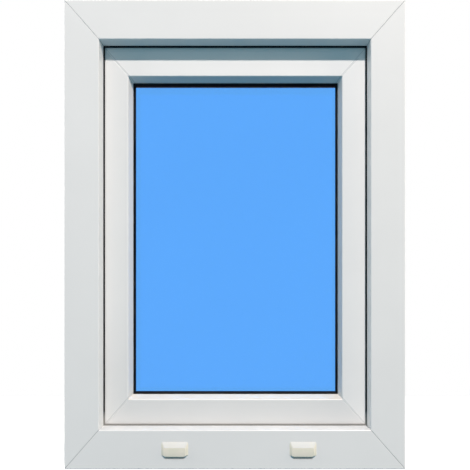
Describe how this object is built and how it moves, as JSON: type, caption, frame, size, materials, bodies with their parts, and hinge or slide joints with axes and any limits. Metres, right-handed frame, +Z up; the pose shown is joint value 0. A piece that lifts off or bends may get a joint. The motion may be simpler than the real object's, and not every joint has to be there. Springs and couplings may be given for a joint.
{
  "type": "tilt and turn window",
  "caption": "White plastic tilt and turn window with a mitred frame, set-back sash, insulating glass, dark seals and hooded drain outlets, worked by a lever handle on the room side.",
  "frame": {"origin": "middle of the frame's underside, half way through its depth", "axes": "+X to the right seen from outside, +Y from outside into the room, +Z up"},
  "size_m": [0.545, 0.1482, 0.75],
  "materials": {
    "white_profile": "smooth satin white window plastic",
    "black_seal": "matt black extruded rubber",
    "window_glass": "clear float glass that shows sky blue",
    "spacer_bar": "bare rolled metal",
    "pane_sealant": "dull black sealant",
    "packer_plastic": "plain moulded plastic",
    "cream_cap": "slightly yellowed cream plastic",
    "handle_enamel": "white enamelled cast metal",
    "hinge_cover": "white moulded covers over the hinge"
  },
  "bodies": {
    "root": {"frame_sill": "white_profile", "frame_head": "white_profile", "frame_jamb_left": "white_profile", "frame_jamb_right": "white_profile", "frame_outer_seal": "black_seal", "drain_cap_left": "cream_cap", "drain_cap_right": "cream_cap", "sash_bottom_rail": "white_profile", "sash_top_rail": "white_profile", "sash_lock_stile": "white_profile", "sash_hinge_stile": "white_profile", "sash_overlap_seal": "black_seal", "outer_pane": "window_glass", "inner_pane": "window_glass", "spacer": "spacer_bar", "edge_sealant": "pane_sealant", "glazing_packers": "packer_plastic", "glazing_gasket": "black_seal", "bead_gasket": "black_seal", "glazing_bead_bottom": "white_profile", "glazing_bead_top": "white_profile", "glazing_bead_left": "white_profile", "glazing_bead_right": "white_profile", "handle_rosette": "handle_enamel", "handle_lever": "handle_enamel", "lower_hinge_frame_part": "hinge_cover", "lower_hinge_sash_part": "hinge_cover", "upper_hinge_frame_part": "hinge_cover", "upper_hinge_sash_part": "hinge_cover"}
  },
  "joints": []
}
